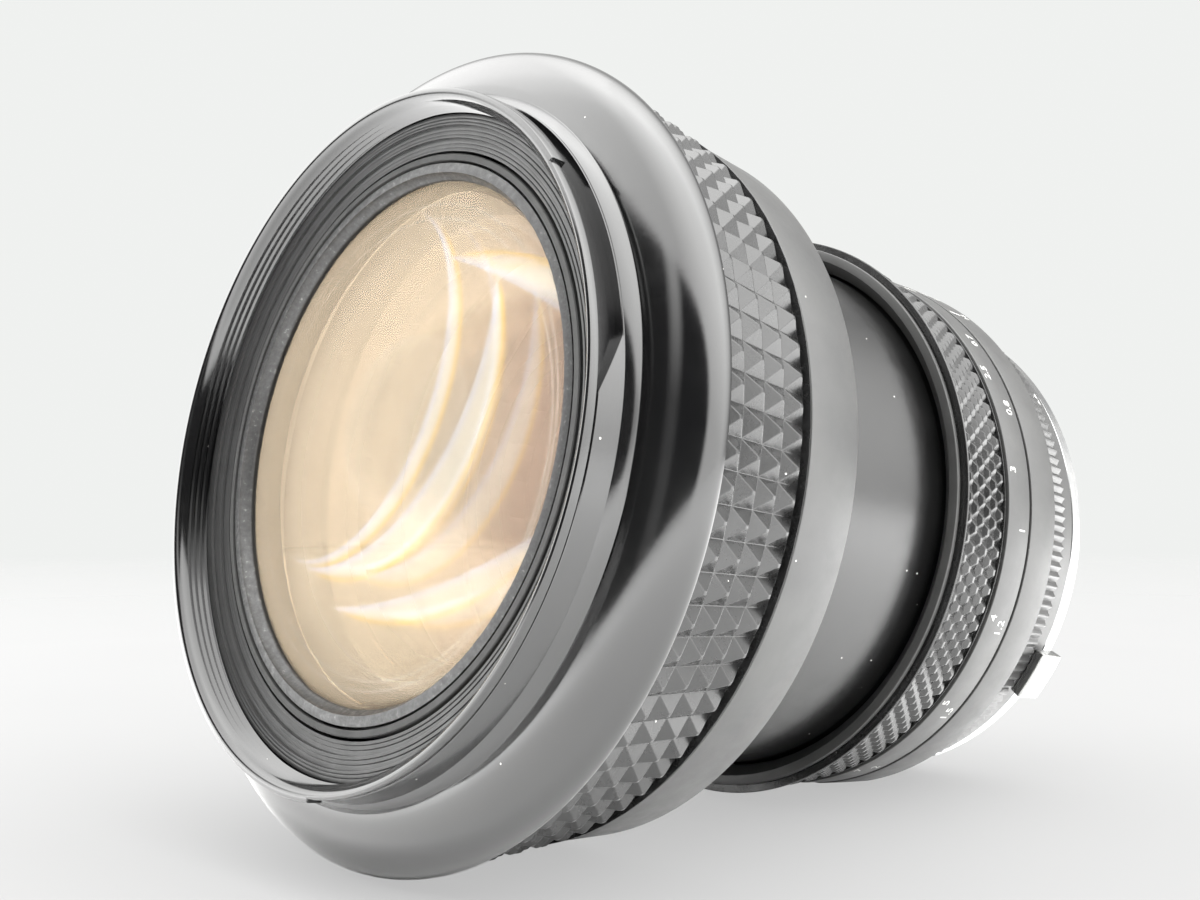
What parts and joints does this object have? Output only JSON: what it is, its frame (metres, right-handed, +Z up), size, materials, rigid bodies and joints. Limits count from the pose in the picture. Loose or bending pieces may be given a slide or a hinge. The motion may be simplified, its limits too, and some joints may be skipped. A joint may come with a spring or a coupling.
{
  "type": "camera lens",
  "caption": "Prime camera lens with gloss front shroud, two rubber grip rings, sliding lens block, iris and aperture ring, and a bayonet mount at the rear.",
  "frame": {"origin": "centre of the mount's flange face, on the optical axis", "axes": "+Y along the optical axis towards the camera, so the front glass faces -Y; +Z up as the lens lies on a table"},
  "size_m": [0.083, 0.0922, 0.083],
  "materials": {
    "gloss_black": "gloss black paint",
    "satin_black": "satin black anodised",
    "matt_black": "matt black",
    "rubber": "moulded, patterned",
    "chrome": "polished chrome plate",
    "steel": "bright steel",
    "blade_steel": "blackened spring steel",
    "brass": "machined brass",
    "aluminium": "machined aluminium",
    "index_white": "white filled dot",
    "coated_glass": "polished, amber anti-reflection coating"
  },
  "bodies": {
    "root": {"fixed_housing": "satin_black", "index_bead": "index_white", "guide_tube": "aluminium", "guide_key_1": "brass", "guide_key_2": "brass", "mount_plate": "chrome", "mount_screw_1": "steel", "mount_screw_2": "steel", "mount_screw_3": "steel", "mount_screw_4": "steel", "rear_mask": "matt_black", "detent_ball": "steel", "detent_spring": "steel"},
    "focus_ring": {"focus_sleeve": "satin_black", "focus_grip": "rubber"},
    "lens_block": {"inner_barrel": "satin_black", "iris_housing": "matt_black", "third_element": "coated_glass", "third_retaining_ring": "matt_black", "rear_cell": "matt_black", "fourth_element": "coated_glass", "rear_spacer": "matt_black", "fifth_element": "coated_glass", "rear_retaining_ring": "matt_black"},
    "control_ring": {"control_sleeve": "satin_black", "control_grip": "rubber", "control_retaining_ring": "brass"},
    "front_cell": {"front_shroud": "gloss_black", "baffle_ring": "matt_black", "cell_barrel": "matt_black", "front_retaining_ring": "matt_black", "front_element": "coated_glass", "second_element": "coated_glass", "second_retaining_ring": "matt_black", "cell_guide_pin_1": "steel", "cell_guide_pin_2": "steel", "cell_guide_pin_3": "steel"},
    "iris_drive": {"iris_drive_ring": "brass"},
    "stop_lever": {"stop_down_lever": "steel"},
    "aperture_ring": {"aperture_ring": "satin_black", "coupling_prong": "steel"},
    "blade_1": {"iris_blade_1": "blade_steel"},
    "blade_2": {"iris_blade_2": "blade_steel"},
    "blade_3": {"iris_blade_3": "blade_steel"},
    "blade_4": {"iris_blade_4": "blade_steel"},
    "blade_5": {"iris_blade_5": "blade_steel"},
    "blade_6": {"iris_blade_6": "blade_steel"},
    "blade_7": {"iris_blade_7": "blade_steel"}
  },
  "joints": [
    {"name": "focus_turn", "type": "hinge", "parent": "root", "child": "focus_ring", "pos_m": [0, -0.025, 0], "axis": [0, -1, 0], "range_deg": [0, 200]},
    {"name": "block_slide", "type": "slide", "parent": "root", "child": "lens_block", "axis": [0, 1, 0], "range_m": [0, 0.01601]},
    {"name": "control_turn", "type": "hinge", "parent": "lens_block", "child": "control_ring", "pos_m": [0, -0.068, 0], "axis": [0, -1, 0], "range_deg": [0, 90]},
    {"name": "cell_slide", "type": "slide", "parent": "lens_block", "child": "front_cell", "axis": [0, -1, 0], "range_m": [0, 0.00251]},
    {"name": "aperture_turn", "type": "hinge", "parent": "root", "child": "aperture_ring", "pos_m": [0, -0.0065, 0], "axis": [0, -1, 0], "range_deg": [0, 56]},
    {"name": "stop_lever_turn", "type": "hinge", "parent": "root", "child": "stop_lever", "pos_m": [0, -0.005, 0], "axis": [0, -1, 0], "range_deg": [0, 4.73]},
    {"name": "iris_drive_turn", "type": "hinge", "parent": "lens_block", "child": "iris_drive", "pos_m": [0, -0.045, 0], "axis": [0, -1, 0], "range_deg": [0, 4.73]},
    {"name": "blade_1_swing", "type": "hinge", "parent": "lens_block", "child": "blade_1", "pos_m": [0.0196, -0.048, 0], "axis": [0, -1, 0], "range_deg": [0, 34.01]},
    {"name": "blade_2_swing", "type": "hinge", "parent": "lens_block", "child": "blade_2", "pos_m": [0.01222, -0.048, 0.01532], "axis": [0, -1, 0], "range_deg": [0, 34.01]},
    {"name": "blade_3_swing", "type": "hinge", "parent": "lens_block", "child": "blade_3", "pos_m": [-0.00436, -0.048, 0.01911], "axis": [0, -1, 0], "range_deg": [0, 34.01]},
    {"name": "blade_4_swing", "type": "hinge", "parent": "lens_block", "child": "blade_4", "pos_m": [-0.01766, -0.048, 0.0085], "axis": [0, -1, 0], "range_deg": [0, 34.01]},
    {"name": "blade_5_swing", "type": "hinge", "parent": "lens_block", "child": "blade_5", "pos_m": [-0.01766, -0.048, -0.0085], "axis": [0, -1, 0], "range_deg": [0, 34.01]},
    {"name": "blade_6_swing", "type": "hinge", "parent": "lens_block", "child": "blade_6", "pos_m": [-0.00436, -0.048, -0.01911], "axis": [0, -1, 0], "range_deg": [0, 34.01]},
    {"name": "blade_7_swing", "type": "hinge", "parent": "lens_block", "child": "blade_7", "pos_m": [0.01222, -0.048, -0.01532], "axis": [0, -1, 0], "range_deg": [0, 34.01]}
  ],
  "couplings": [
    {"joint": "block_slide", "follows": "focus_turn", "m_per_rad": 0.0045837},
    {"joint": "cell_slide", "follows": "control_turn", "m_per_rad": 0.0015915},
    {"joint": "stop_lever_turn", "follows": "aperture_turn", "ratio": 0.084338},
    {"joint": "iris_drive_turn", "follows": "aperture_turn", "ratio": 0.084338},
    {"joint": "blade_1_swing", "follows": "aperture_turn", "ratio": 0.60714},
    {"joint": "blade_2_swing", "follows": "aperture_turn", "ratio": 0.60714},
    {"joint": "blade_3_swing", "follows": "aperture_turn", "ratio": 0.60714},
    {"joint": "blade_4_swing", "follows": "aperture_turn", "ratio": 0.60714},
    {"joint": "blade_5_swing", "follows": "aperture_turn", "ratio": 0.60714},
    {"joint": "blade_6_swing", "follows": "aperture_turn", "ratio": 0.60714},
    {"joint": "blade_7_swing", "follows": "aperture_turn", "ratio": 0.60714}
  ]
}
